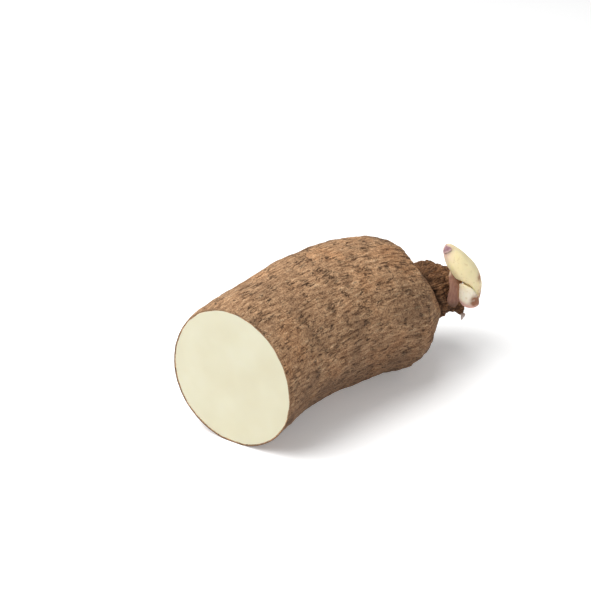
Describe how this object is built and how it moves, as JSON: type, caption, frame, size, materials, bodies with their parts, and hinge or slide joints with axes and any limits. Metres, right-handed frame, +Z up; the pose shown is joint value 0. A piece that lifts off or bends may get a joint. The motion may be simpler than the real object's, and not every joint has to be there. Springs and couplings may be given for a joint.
{
  "type": "yam half",
  "caption": "Half of a yam: a thick bent tuber with rough brown bark, cut square to pale flesh at one end, with a knobbly crown and a young shoot at the other.",
  "frame": {"origin": "centre of the bounding box in X and Y, at the surface it rests on", "axes": "+X from the cut face towards the crown, +Z up"},
  "size_m": [0.1914, 0.0912, 0.0904],
  "materials": {
    "bark": "rough dry brown bark; ivory moist flesh on the cut face",
    "shoot_skin": "smooth waxy cream yellow",
    "young_leaf": "smooth mauve",
    "dry_scale": "dull papery mauve brown",
    "fresh_scale": "waxy cream with a pink and rust rim",
    "stub_skin": "dull greyish white",
    "dry_root": "dry pale tan"
  },
  "bodies": {
    "root": {"tuber": "bark", "main_shoot": "shoot_skin", "tip_leaf": "young_leaf", "brown_scale_leaf": "dry_scale", "pale_scale_leaf": "fresh_scale", "root_stub": "stub_skin", "root_1": "dry_root", "root_2": "dry_root"}
  },
  "joints": []
}
